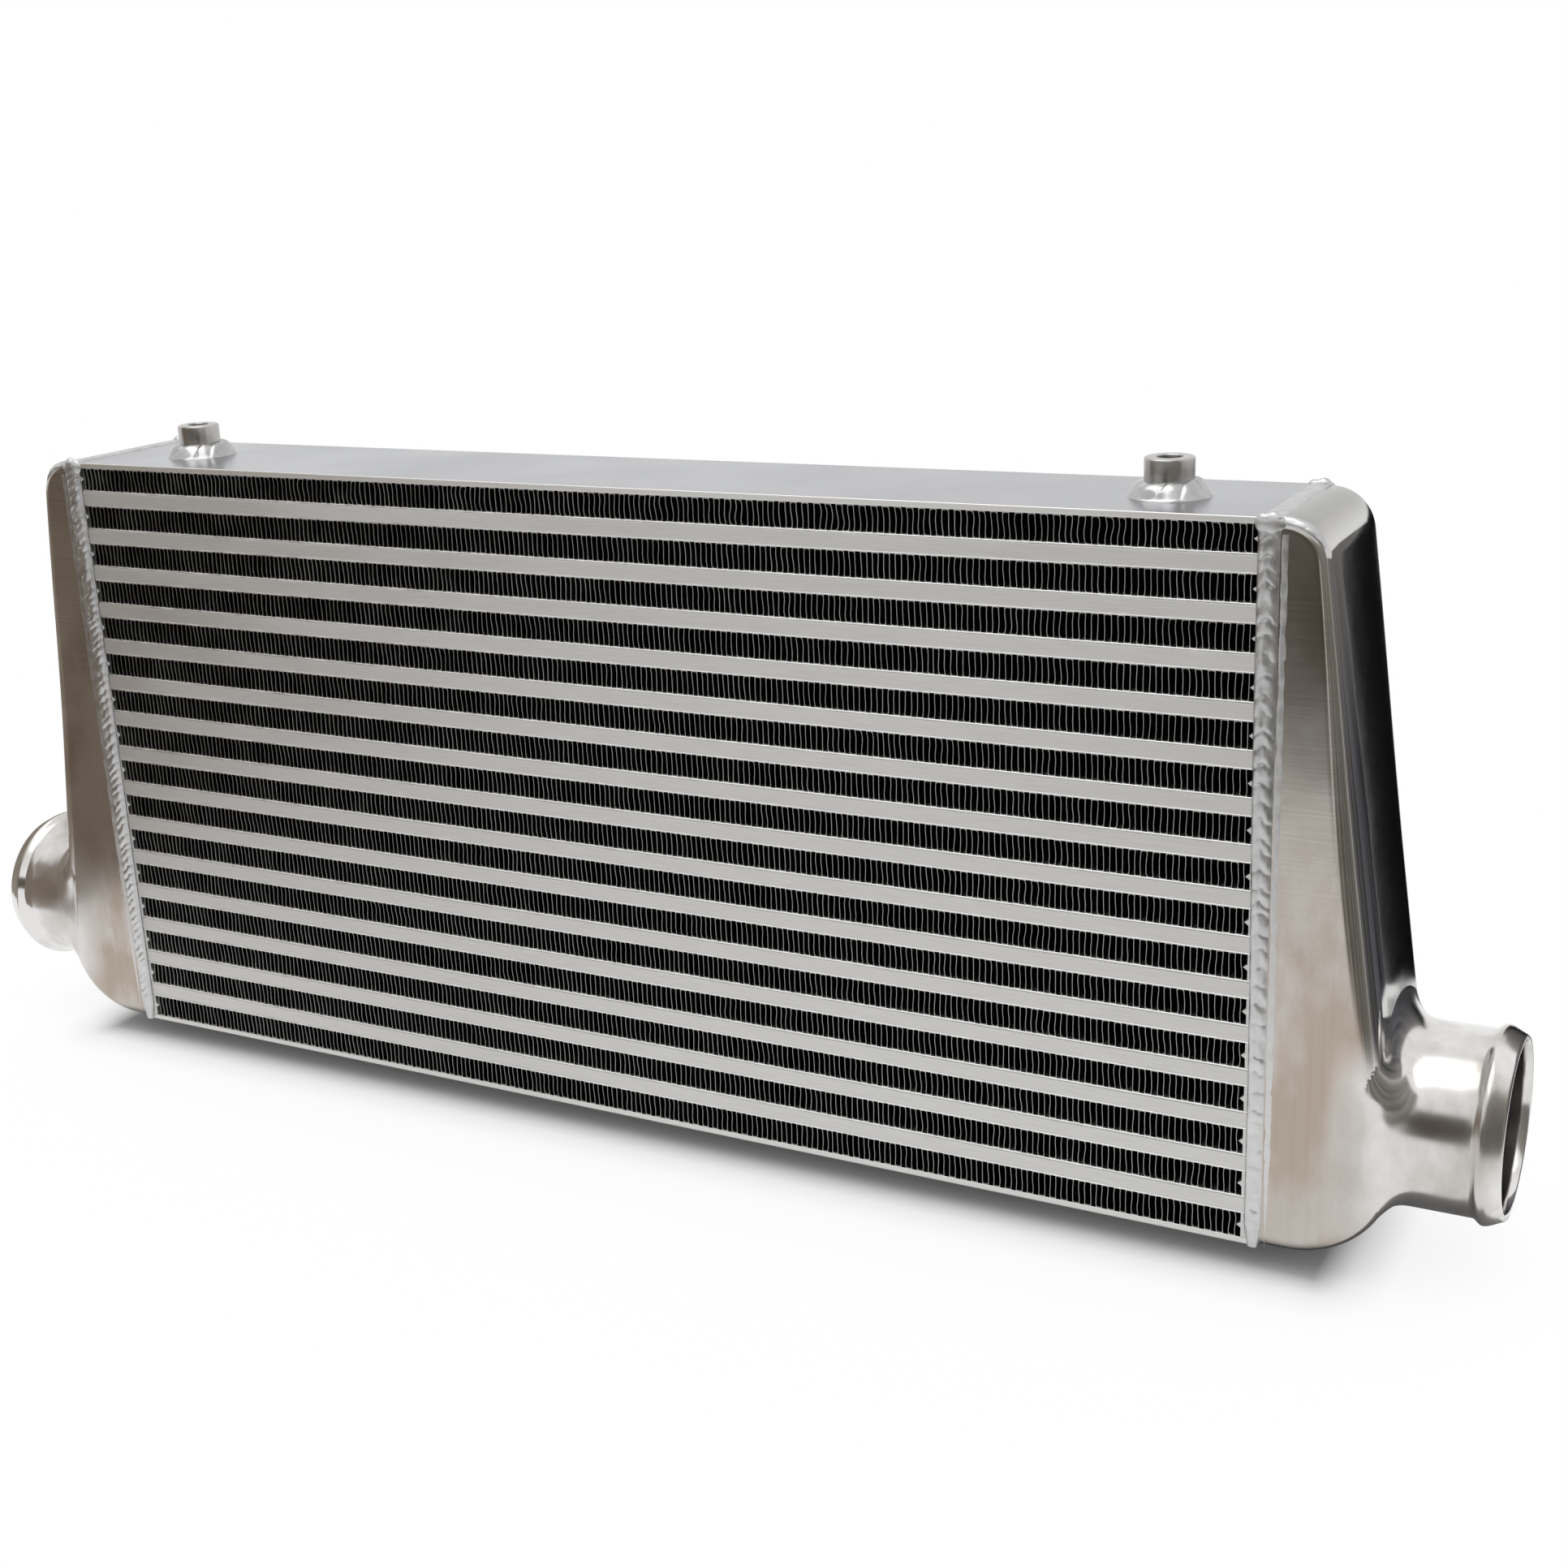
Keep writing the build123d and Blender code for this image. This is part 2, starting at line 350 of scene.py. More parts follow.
def worked_sheet(name):
    """Ground and polished sheet. The sides are mirrors; the front and back are brushed and stained; the
    tops are painted darker, as painted shade.
    """
    metal = Shader(name, 0.2)
    polished = metal.span(metal.facing("X"), 0.35, 0.8)
    outward = metal.span(metal.distance((0, 0, 0), (1, 0, 0)), 328 * MM, 345 * MM)
    from_axis = metal.distance((0, 0, NECK_HEIGHT * MM), (0, 1, 1))
    tube = metal.mix(outward, (0, 0, 0), metal.span(from_axis, 47 * MM, 60 * MM, 1.0, 0.0))
    cloud = metal.noise(16.0, 5.0)
    blotch = metal.noise(30.0, 5.0, (1, 1, 0.55))
    roof = metal.span(metal.facing("Z"), 0.45, 0.85)
    upright = metal.noise(1.0, 3.0, (500, 500, 14))
    level = metal.noise(1.0, 3.0, (22, 22, 900))
    upper = metal.span(metal.axis("Z"), 90 * MM, 200 * MM)
    brush = metal.mix(upper, upright, level)
    warm = metal.ramp(cloud, [(0.3, (0.46, 0.42, 0.375)), (0.7, (0.63, 0.60, 0.57))])
    stain = metal.mix(upper, (0.40, 0.325, 0.265), (0.41, 0.375, 0.33))
    stained = metal.mix(metal.span(blotch, 0.46, 0.60, 0.0, 0.9), warm, stain)
    brushed = metal.ramp(brush, [(0.3, (0.34, 0.31, 0.28)), (0.7, (0.72, 0.70, 0.67))])
    face = metal.mix(metal.span(upper, 0.0, 1.0, 0.07, 0.2), stained, brushed)
    wall = metal.mix(polished, face, (0.56, 0.55, 0.54))
    # Surfaces that face up are painted darker: painted shade on the tops.
    wall = metal.mix(roof, wall, (0.315, 0.31, 0.30))
    turned = metal.ramp(blotch, [(0.38, (0.52, 0.495, 0.46)), (0.6, (0.77, 0.76, 0.75))])
    metal.colour(metal.mix(tube, wall, turned))
    face_roughness = metal.span(cloud, 0.3, 0.7, 0.14, 0.24)
    wall_roughness = metal.mix(polished, face_roughness, (0.08, 0.08, 0.08))
    metal.roughness(metal.mix(tube, wall_roughness, metal.span(blotch, 0.38, 0.62, 0.28, 0.13)))
    waves = metal.mix(tube, metal.noise(20.0, 1.0), metal.noise(42.0, 2.0))
    wave = metal.bump(waves, 0.3, 0.5)
    metal.bump(metal.mix(tube, brush, metal.noise(1.0, 3.0, (1100, 40, 40))), 0.12, 0.03, wave)
    return metal.material


def weld_material(name, tone, low, high):
    """Bare weld metal of a tone with a fine oxide grain, between two roughnesses."""
    metal = Shader(name, low)
    cloud = metal.noise(180.0, 4.0)
    # The bead is lighter below 60 mm and takes the given tone above 220 mm.
    upper_tone = metal.ramp(cloud, [(0.3, (0.7 * tone,) * 3), (0.7, (tone,) * 3)])
    lower_tone = metal.ramp(cloud, [(0.3, (0.58, 0.58, 0.58)), (0.7, (0.74, 0.74, 0.74))])
    metal.colour(metal.mix(metal.span(metal.axis("Z"), 60 * MM, 220 * MM), lower_tone, upper_tone))
    metal.roughness(metal.span(cloud, 0.3, 0.7, low, high))
    metal.bump(metal.noise(900.0, 3.0), 0.2, 0.06)
    return metal.material


def boss_material():
    """Turned bar, with the tool's fine rings round it, and a hole painted near black inside as painted
    shade.
    """
    metal = Shader("turned_boss", 0.3)
    turned = metal.noise(1.0, 2.0, (60, 60, 2200))
    cloud = metal.noise(70.0, 4.0)
    skin = metal.ramp(cloud, [(0.3, (0.36, 0.35, 0.335)), (0.7, (0.54, 0.53, 0.515))])
    radius = metal.distance((BOSS_X * MM, 0, 0), (1, 1, 0))
    # Inside the threaded hole the colour is painted near black: painted shade in the recess.
    metal.colour(metal.mix(metal.span(radius, 5.0 * MM, 5.5 * MM), (0.05, 0.05, 0.05), skin))
    metal.roughness(metal.span(cloud, 0.3, 0.7, 0.2, 0.36))
    metal.bump(turned, 0.2, 0.04)
    return metal.material


def hidden_material():
    """Sheet inside the core, dulled by brazing."""
    metal = Shader("brazed_sheet", 0.55)
    cloud = metal.noise(40.0, 4.0)
    metal.colour(metal.ramp(cloud, [(0.3, (0.25, 0.24, 0.23)), (0.7, (0.40, 0.39, 0.38))]))
    metal.roughness(metal.span(cloud, 0.3, 0.7, 0.48, 0.62))
    return metal.material


fins_look = fin_material()
bars_look = bar_material()
sheets_look = sheet_material()
plates_look = plate_material()
tanks_look = worked_sheet("polished_tank")
necks_look = worked_sheet("polished_neck")
welds_look = weld_material("weld_metal", 0.62, 0.3, 0.48)
boss_welds_look = weld_material("bright_weld_metal", 0.5, 0.14, 0.3)
bosses_look = boss_material()
hidden_look = hidden_material()

# ---- Core ----

LEG_SPACING = 2.587
LEG_THICKNESS = 0.24
LEG_STEPS = 8
FIN_FACE = 0.3  # how far behind the bars' faces the fins' edges stand
ROW_BEND = 1.15
TOP_ROW_BEND = 2.1  # the top row has been knocked about the most
FOLD_CORNER = 0.5
NARROWEST_FOLD = 0.2

fin_nodes = sorted(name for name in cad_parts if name.startswith("cooling_fin"))


def wander(seed, reach, where):
    """A smooth irregularity of up to about reach, the same on each run."""
    return reach * noise.noise(Vector((where, seed * 13.7, seed * 3.1)))


def leg_line(number, leg, middle, low_z, high_z):
    """The middle line of one leg, a little bent and leaning, as (x, z) from its foot to its top."""
    bent = TOP_ROW_BEND if number == len(fin_nodes) else ROW_BEND
    bow = bent * wander(number + 0.37, 0.55, leg * 0.21) + random.uniform(-0.09, 0.09)
    lean = wander(number + 0.71, 0.7, leg * 0.13) + 0.16 * (-1) ** leg + random.uniform(-0.08, 0.08)
    swerve = bent * wander(number + 0.93, 0.35, leg * 0.27)
    line = []
    for step in range(LEG_STEPS + 1):
        rise = step / LEG_STEPS
        across = middle + bow * math.sin(math.pi * rise) + lean * (rise - 0.5)
        across += swerve * math.sin(2 * math.pi * rise)
        line.append((across, low_z + rise * (high_z - low_z)))
    return line


def fin_row(number, node):
    """One folded sheet: upright legs joined by folds at the top and the bottom by turns."""
    low, high = box_mm(node)
    front, back = CORE_FRONT + FIN_FACE, -CORE_FRONT - FIN_FACE
    legs = round((high.x - low.x) / LEG_SPACING)
    spacing = (high.x - low.x) / legs
    half = LEG_THICKNESS / 2
    points, faces = [], []

    def slab(corners):
        """A strip with a front and a back edge, from its outline seen from the front."""
        first = len(points)
        count = len(corners)
        points.extend((x, front, z) for x, z in corners)
        points.extend((x, back, z) for x, z in corners)
        for corner in range(count):
            here, following = first + corner, first + (corner + 1) % count
            faces.append((here, following, following + count, here + count))
        pairs = count // 2
        for step in range(pairs - 1):
            near = (first + step, first + step + 1, first + count - 2 - step, first + count - 1 - step)
            faces.append(near)
            faces.append(tuple(index + count for index in reversed(near)))

    tops, feet = [], []
    for leg in range(legs + 1):
        middle = low.x + leg * spacing + wander(number, 0.35, leg * 0.35)
        middle = min(max(middle, low.x + half), high.x - half)
        line = leg_line(number, leg, middle, low.z, high.z)
        slab([(x - half, z) for x, z in line] + [(x + half, z) for x, z in reversed(line)])
        feet.append(line[0][0])
        tops.append(line[-1][0])
    for leg in range(legs):
        ends, rim, inward = (tops, high.z, -1) if leg % 2 else (feet, low.z, 1)
        left, right = ends[leg] + half, ends[leg + 1] - half
        if right - left < NARROWEST_FOLD:
            continue
        inside = rim + LEG_THICKNESS * inward
        foot = inside + FOLD_CORNER * inward
        near, far = left + FOLD_CORNER, right - FOLD_CORNER
        slab(
            [(left, rim), (near, rim), (far, rim), (right, rim)]
            + [(right, foot), (far, inside), (near, inside), (left, foot)]
        )
    mesh_piece(f"fin_row_{number:02d}", points, faces, fins_look, [node], smooth=False)


for number, node in enumerate(fin_nodes, start=1):
    fin_row(number, node)

bevelled_copy("front_bars", ["front_long_bars"], 0.35, 2, bars_look)
bevelled_copy("rear_bars", ["rear_long_bars"], 0.35, 2, bars_look)
bevelled_copy("sheet_edges", ["parting_sheets"], 0.15, 1, sheets_look)
bevelled_copy("left_row_ends", ["left_end_bars"], 0.2, 1, bars_look)
bevelled_copy("right_row_ends", ["right_end_bars"], 0.2, 1, bars_look)
bevelled_copy("top_plate", ["top_side_plate"], 0.5, 3, plates_look)
bevelled_copy("bottom_plate", ["bottom_side_plate"], 0.5, 3, plates_look)

# ---- Tanks ----


def arc(corner, before, after, radius, steps):
    """Points and normals of a rounded corner between two straight lines, as (x, z, normal x, normal z)."""
    corner, before, after = Vector(corner), Vector(before), Vector(after)
    back, ahead = (before - corner).normalized(), (after - corner).normalized()
    half_angle = back.angle(ahead) / 2
    centre = corner + (back + ahead).normalized() * radius / math.sin(half_angle)
    start = corner + back * radius / math.tan(half_angle) - centre
    turn = math.pi - 2 * half_angle
    points = []
    for step in range(steps + 1):
        angle = turn * step / steps
        spoke = Vector(
            (
                start.x * math.cos(angle) - start.y * math.sin(angle),
                start.x * math.sin(angle) + start.y * math.cos(angle),
            )
        )
        points.append((*(centre + spoke), *spoke.normalized()))
    return points


def tank_outline():
    """The tank's outer line seen from the front, from its foot at the seam round to its top at the seam."""
    foot, heel = (SEAM, 0.0), (SEAM + TANK_BOTTOM_WIDTH, 0.0)
    brow, crown = (SEAM + TANK_TOP_WIDTH, CORE_TOP), (SEAM, CORE_TOP)
    low = arc(heel, foot, brow, TANK_LOW_CORNER, 40)
    high = arc(brow, heel, crown, TANK_TOP_CORNER, 24)
    wall = []
    for step in range(1, 30):
        share = step / 30
        wall.append(tuple(a + (b - a) * share for a, b in zip(low[-1], high[0])))
    floor = [(SEAM + (low[0][0] - SEAM) * step / 4, 0.0, 0.0, -1.0) for step in range(4)]
    roof = [(high[-1][0] + (SEAM - high[-1][0]) * step / 2, CORE_TOP, 0.0, 1.0) for step in (1, 2)]
    return floor + low + wall + high + roof


outline = tank_outline()
run = [0.0]
for (x0, z0, _, _), (x1, z1, _, _) in zip(outline, outline[1:]):
    run.append(run[-1] + math.hypot(x1 - x0, z1 - z0))


def blend(value, low, high):
    """A smooth step from 0 at low to 1 at high."""
    share = min(max((value - low) / (high - low), 0.0), 1.0)
    return share * share * (3 - 2 * share)


def edge_rounding(z):
    """The radius of the tank's front and rear edges at a height: less along its underside and its top."""
    return 10.5 - 4.5 * blend(z, 60, 5) - 6.0 * blend(z, 150, 298)


ROUND_STEPS = 9
DEPTH_STEPS = 6
HOLE_STEPS = 96


def shell(inset, open_edge):
    """A closed tank form, its outline moved inwards by inset, as points and faces."""
    half = TANK_HALF_DEPTH - inset

    def ring(place):
        """One run round the outline. place(radius) gives how far it lies inwards, and its y."""
        points = []
        for x, z, nx, nz in outline:
            inward, y = place(edge_rounding(z) - inset)
            inward += inset
            px = open_edge if abs(x - SEAM) < 1e-6 else max(x - nx * inward, open_edge + 0.05)
            points.append((px, y, z - nz * inward))
        return points

    def rounded(turn, side):
        rise, reach = 1 - math.cos(turn), 1 - math.sin(turn)
        return lambda radius: (radius * reach, side * (half - radius * rise))

    def between(share):
        return lambda radius: (0.0, (2 * share - 1) * (half - radius))

    turns = [math.pi / 2 * step / ROUND_STEPS for step in range(ROUND_STEPS + 1)]
    rings = [ring(lambda radius: (radius + 0.8, -half))]
    rings += [ring(rounded(turn, -1)) for turn in turns]
    rings += [ring(between(step / DEPTH_STEPS)) for step in range(1, DEPTH_STEPS)]
    rings += [ring(rounded(turn, 1)) for turn in reversed(turns)]
    rings += [ring(lambda radius: (radius + 0.8, half))]
    count = len(outline)
    points = [point for ring_points in rings for point in ring_points]
    faces = grid_faces(len(rings), count, wrap=True)
    faces.append(tuple(range(count)))
    faces.append(tuple(range((len(rings) - 1) * count, len(rings) * count)))
    return points, faces


def solid_mesh(name, points, faces):
    """A closed form to cut or to cut with."""
    mesh = bpy.data.meshes.new(name)
    mesh.from_pydata([Vector(p) * MM for p in points], [], faces)
    grid = bmesh.new()
    grid.from_mesh(mesh)
    bmesh.ops.remove_doubles(grid, verts=grid.verts, dist=0.0005 * MM)
    bmesh.ops.recalc_face_normals(grid, faces=grid.faces)
    grid.to_mesh(mesh)
    grid.free()
    piece = bpy.data.objects.new(name, mesh)
    bpy.context.scene.collection.objects.link(piece)
    return piece


def cut(body, tool):
    """Takes the tool's form away from the body's."""
    change = body.modifiers.new("cut", "BOOLEAN")
    change.operation = "DIFFERENCE"
    change.solver = "EXACT"
    change.object = tool
    bpy.context.view_layer.update()
    result = bpy.data.meshes.new_from_object(body.evaluated_get(bpy.context.evaluated_depsgraph_get()))
    body.modifiers.clear()
    body.data = result
    bpy.data.objects.remove(tool)


def build_tank():
    """The right tank: hollow, open to the core, with the hole that its neck stands over."""
    body = solid_mesh("tank_body", *shell(0.0, SEAM))
    cut(body, solid_mesh("tank_hollow", *shell(TANK_WALL, SEAM - 3)))
    hole = [(NECK_RADIUS - 1, 320.0), (NECK_RADIUS - 1, 380.0)]
    bore_points, bore_faces = lathe(hole, HOLE_STEPS, (0, 0, NECK_HEIGHT), "x")
    bore_faces += [tuple(range(HOLE_STEPS)), tuple(range(HOLE_STEPS, 2 * HOLE_STEPS))]
    cut(body, solid_mesh("tank_bore", bore_points, bore_faces))
    return body


tank_body = build_tank()
both_tanks = bmesh.new()
for flip in (1, -1):
    mesh = tank_body.data.copy()
    mesh.transform(Matrix.Diagonal((flip, 1, 1, 1)))
    both_tanks.from_mesh(mesh)
mesh = bpy.data.meshes.new("tank_pair")
both_tanks.to_mesh(mesh)
both_tanks.free()
finish_mesh("polished_tanks", mesh, tanks_look, ["end_tanks"], sharp_above=30)
bpy.data.objects.remove(tank_body)

# ---- Hose necks ----

FLARE = 12.0
FLARE_PULL = 1.15  # how far the flare follows the tank and the tube before it turns
NECK_STEPS = 160


def outline_at(distance):
    """The tank's outer line at a distance along it, as (x, z, normal x, normal z)."""
    for index in range(len(run) - 1):
        if distance <= run[index + 1]:
            share = (distance - run[index]) / (run[index + 1] - run[index])
            return tuple(a + (b - a) * share for a, b in zip(outline[index], outline[index + 1]))
    return outline[-1]


def run_at_height(z):
    """How far along the outer line its outward side reaches the height z."""
    for index in range(4, len(outline) - 1):
        if outline[index][1] <= z <= outline[index + 1][1]:
            share = (z - outline[index][1]) / (outline[index + 1][1] - outline[index][1])
            return run[index] + share * (run[index + 1] - run[index])
    return run[-1]


def on_tank(distance, y):
    """A point on the tank's skin and the skin's normal there. y is measured along the skin."""
    x, z, nx, nz = outline_at(distance)
    side = math.copysign(1.0, y)
    radius = edge_rounding(z)
    flat = TANK_HALF_DEPTH - radius
    over = abs(y) - flat
    if over <= 0:
        return Vector((x, y, z)), Vector((nx, 0, nz))
    turn = min(over / radius, math.pi / 2)
    sunk = radius * (1 - math.cos(turn)) + max(over - radius * math.pi / 2, 0.0)
    place = Vector((x - nx * sunk, side * (flat + radius * math.sin(turn)), z - nz * sunk))
    return place, Vector((nx * math.cos(turn), side * math.sin(turn), nz * math.cos(turn)))


BEAD_START = 384.0
bead_profile = [
    (NECK_RADIUS, BEAD_START - 0.6),
    (NECK_RADIUS + 0.25, BEAD_START + 0.3),
    (NECK_RADIUS + 1.5, BEAD_START + 1.9),
    (NECK_RADIUS + 2.1, BEAD_START + 2.7),
    (NECK_RADIUS + 2.3, BEAD_START + 3.6),
    (NECK_RADIUS + 2.15, BEAD_START + 4.7),
    (NECK_RADIUS + 1.6, BEAD_START + 6.2),
    (NECK_RADIUS + 0.5, BEAD_START + 8.4),
    (NECK_RADIUS - 0.5, BEAD_START + 10.4),
    (NECK_RADIUS - 0.9, NECK_END - 0.35),
    (NECK_RADIUS - 1.35, NECK_END),
    (NECK_BORE + 0.4, NECK_END),
    (NECK_BORE, NECK_END - 0.4),
    (NECK_BORE, NECK_END - 4.0),
    (NECK_BORE, 370.0),
    (NECK_BORE, 345.0),
]


def neck_points():
    """Rows of points round the neck, from its flared foot on the tank to inside its mouth."""
    columns = []
    for step in range(NECK_STEPS):
        turn = 2 * math.pi * step / NECK_STEPS
        y, z = NECK_RADIUS * math.sin(turn), NECK_HEIGHT + NECK_RADIUS * math.cos(turn)
        meeting = run_at_height(z)
        wall_x = outline_at(meeting)[0]
        reach = FLARE * (0.75 + 0.25 * blend(z, 15, 60))
        foot, skin = on_tank(meeting + reach * math.cos(turn), y + reach * math.sin(turn))
        beyond, _ = on_tank(meeting + (reach + 2) * math.cos(turn), y + (reach + 2) * math.sin(turn))
        tube = Vector((wall_x + reach, y, z))
        inward = (foot - beyond).normalized()
        length = (tube - foot).length
        column = [beyond - skin * 0.5, foot - skin * 0.02]
        for share in (0.12, 0.24, 0.36, 0.48, 0.6, 0.72, 0.84, 1.0):
            square, cube = share * share, share**3
            point = (
                foot * (2 * cube - 3 * square + 1)
                + inward * length * FLARE_PULL * (cube - 2 * square + share)
                + tube * (3 * square - 2 * cube)
                + Vector((1, 0, 0)) * length * FLARE_PULL * (cube - square)
            )
            column.append(point)
        for share in (0.25, 0.5, 0.75):
            column.append(Vector((tube.x + (BEAD_START - 1.5 - tube.x) * share, y, z)))
        for radius, x in bead_profile:
            column.append(Vector((x, radius * math.sin(turn), NECK_HEIGHT + radius * math.cos(turn))))
        columns.append(column)
    rows = len(columns[0])
    return [tuple(column[row]) for row in range(rows) for column in columns], rows


right_neck, rows = neck_points()
neck_faces = grid_faces(rows, NECK_STEPS, wrap=True)
neck_faces += moved_on([tuple(reversed(face)) for face in neck_faces], len(right_neck))
both_necks = right_neck + mirrored(right_neck)
mesh_piece("beaded_necks", both_necks, neck_faces, necks_look, ["hose_necks"], sharp_above=60)

# ---- Seam welds ----

WELD_CROWN = 1.7
ROW_LENGTH = 0.55  # between one row of a bead's points and the next
RIGHT_PITCH = 6.6
LEFT_PITCH = 4.3
LEFT_SLANT = 3.4
LIP_HALF_WIDTH = 1.8
RIDGE_LENGTH = 27.0
RIDGE_HALF_WIDTH = 2.5


def weld_middle(z):
    """X of the bead's middle and half of its width at a height."""
    share = blend(z, 60, 250)
    return 301.2 - 0.9 * share, 3.8 + 0.8 * share


def ripple(phase):
    """Height of one weld ripple, rounded on top and with a sharp valley."""
    share = phase % 1.0
    return math.sin(math.pi * share**0.8) ** 0.7


def bead_grid(length, phase_at, amplitude_at, place):
    """A strip of weld bead; place(along, across, height) gives its points."""
    rows, columns = round(length / ROW_LENGTH), 17
    points = []
    for row in range(rows + 1):
        along = length * row / rows
        for column in range(columns):
            across = 2 * column / (columns - 1) - 1
            edge = 1 - abs(across) ** 2.6
            crown = WELD_CROWN * edge**0.55
            waver = 0.3 * noise.noise(Vector((along * 0.13, across * 1.3, 5.0)))
            lumps = 0.75 + 0.9 * noise.noise(Vector((along * 0.09, across * 0.6, 9.0)))
            warp = 0.25 * noise.noise(Vector((along * 0.3, across * 1.5, 2.0)))
            wave = ripple(phase_at(along, across) + warp)
            rough = lumps * amplitude_at(along, across) * wave * edge**0.5
            height = crown * (0.92 + waver) + rough - 0.25
            points.append(place(along, across, height))
    return points, grid_faces(rows + 1, columns)


def uneven_phase(seed, pitch, length):
    """A running count of ripples whose spacing is a little uneven."""
    spots = [0.0]
    chance = random.Random(seed)
    while spots[-1] < length + 30:
        spots.append(spots[-1] + pitch * chance.uniform(0.75, 1.3))

    def phase(along):
        along = max(along, 0.0)
        for index in range(len(spots) - 1):
            if along < spots[index + 1]:
                return index + (along - spots[index]) / (spots[index + 1] - spots[index])
        return float(len(spots))

    return phase


def over_top(along, across, height):
    """Places the part of a bead that crosses the core's top from front to back."""
    return (300.5 + 4.0 * across, along - TANK_HALF_DEPTH, CORE_TOP - 0.05 + 0.55 * height)


def over_front_edge(along, across, height):
    """Places a short bead over the tank's front edge, which runs out down its side."""
    fade = 1 - blend(along, RIDGE_LENGTH - 12, RIDGE_LENGTH)
    distance = run[-1] - 0.6 - along
    radius = edge_rounding(outline_at(distance)[1])
    middle = TANK_HALF_DEPTH - radius + 0.8 * radius * math.pi / 4
    point, skin = on_tank(distance, -middle - RIDGE_HALF_WIDTH * across * (0.4 + 0.6 * fade))
    return tuple(point + skin * (0.7 * height * fade - 0.1))


def weld_blob(y, z, size):
    """A rounded end of the bead, as points and faces."""
    angles = [math.pi * step / 16 for step in range(17)]
    profile = [(size * math.sin(angle), -size * 0.8 * math.cos(angle)) for angle in angles]
    ball, ball_faces = lathe(profile, 32, (0, 0, 0))
    middle, _ = weld_middle(z)
    shaped = [
        (middle + 0.95 * x, y + 0.55 * by, z + 0.7 * bz * (1 + 0.1 * math.sin(x)))
        for x, bz, by in ball
    ]
    return shaped, ball_faces


def seam_weld(side, flip, seed):
    """Points and faces of one end's bead, which runs down the front and back and over the top."""
    drop = uneven_phase(seed, RIGHT_PITCH if side == "right" else LEFT_PITCH, 330)
    points, faces = [], []

    def add(new_points, new_faces):
        start = len(points)
        points.extend((flip * x, y, z) for x, y, z in new_points)
        faces.extend(moved_on(new_faces, start))

    def chevron(along, across):
        """Ripples that bend to a point on the right bead and slant on the left one."""
        down = CORE_TOP - along
        if side == "right":
            bend = 4.5 - 3.0 * blend(down, 110, 190)
            return drop(down + 20 - bend * abs(across + 0.1) ** 1.2)
        return drop(down + 20 - LEFT_SLANT * across)

    def strength(along, across):
        """Height of the ripples, which are flatter towards the foot."""
        down = CORE_TOP - along
        if side == "right":
            return 0.62 - 0.22 * blend(down, 110, 190)
        return 0.74 - 0.3 * blend(down, 210, 280)

    for face in (-1, 1):
        skin = TANK_HALF_DEPTH - 0.5

        def upright(along, across, height):
            slim = 0.5 + 0.5 * blend(along, -3, 11)
            middle, half_width = weld_middle(along)
            return (middle + half_width * across * slim, face * (skin + height * slim), along)

        def lip(along, across, height):
            middle, half_width = weld_middle(along)
            x = middle + half_width + 1.3 + LIP_HALF_WIDTH * across * blend(along, -4, 50)
            return (x, face * (TANK_HALF_DEPTH - 0.1 + 0.1 * height), along)

        add(*bead_grid(CORE_TOP + 0.2, chevron, strength, upright))
        add(*bead_grid(CORE_TOP - 6, lambda s, a: 0.3 * s, lambda s, a: 0.1, lip))

    add(*bead_grid(2 * TANK_HALF_DEPTH, lambda s, a: drop(s + 2 * a), lambda s, a: 0.12, over_top))
    blobs = [(face * (TANK_HALF_DEPTH - 1.2), CORE_TOP - 2.4, 6.4) for face in (-1, 1)]
    blobs += [(face * (TANK_HALF_DEPTH - 1.6), 2.9, 3.2) for face in (-1, 1)]
    for y, z, size in blobs:
        add(*weld_blob(y, z, size))
    add(*bead_grid(RIDGE_LENGTH, lambda s, a: 0.2 * s + 0.4 * a, lambda s, a: 0.3, over_front_edge))
    return points, faces


weld_points, weld_faces = [], []
for side, flip, seed in (("right", 1, 3), ("left", -1, 11)):
    new_points, new_faces = seam_weld(side, flip, seed)
    weld_faces += moved_on(new_faces, len(weld_points))
    weld_points += new_points
mesh_piece("seam_weld_beads", weld_points, weld_faces, welds_look, ["seam_welds"], sharp_above=70)

# ---- Bosses ----

BOSS_TOP = 315.0
THREAD_PITCH = 1.5
THREAD_DEPTH = 0.7


def boss_profile():
    """(radius, height) from the boss's foot over its rim and down its threaded hole."""
    groove = THREAD_RADIUS + THREAD_DEPTH
    profile = [
        (BOSS_RADIUS, CORE_TOP - 0.5),
        (BOSS_RADIUS, CORE_TOP + 4),
        (BOSS_RADIUS, BOSS_TOP - 1.0),
        (BOSS_RADIUS - 0.12, BOSS_TOP - 0.45),
        (BOSS_RADIUS - 0.5, BOSS_TOP - 0.1),
        (BOSS_RADIUS - 0.9, BOSS_TOP),
        (THREAD_RADIUS + 1.3, BOSS_TOP),
        (THREAD_RADIUS + 0.75, BOSS_TOP - 0.6),
    ]
    depth = BOSS_TOP - 0.9
    while depth > BOSS_TOP - 11.5:
        profile += [(THREAD_RADIUS, depth - 0.35), (THREAD_RADIUS, depth - 0.6)]
        profile += [(groove, depth - 1.1), (groove, depth - 1.25)]
        depth -= THREAD_PITCH
    profile += [(THREAD_RADIUS, BOSS_TOP - 12.0), (0.4, BOSS_TOP - 12.0)]
    return profile


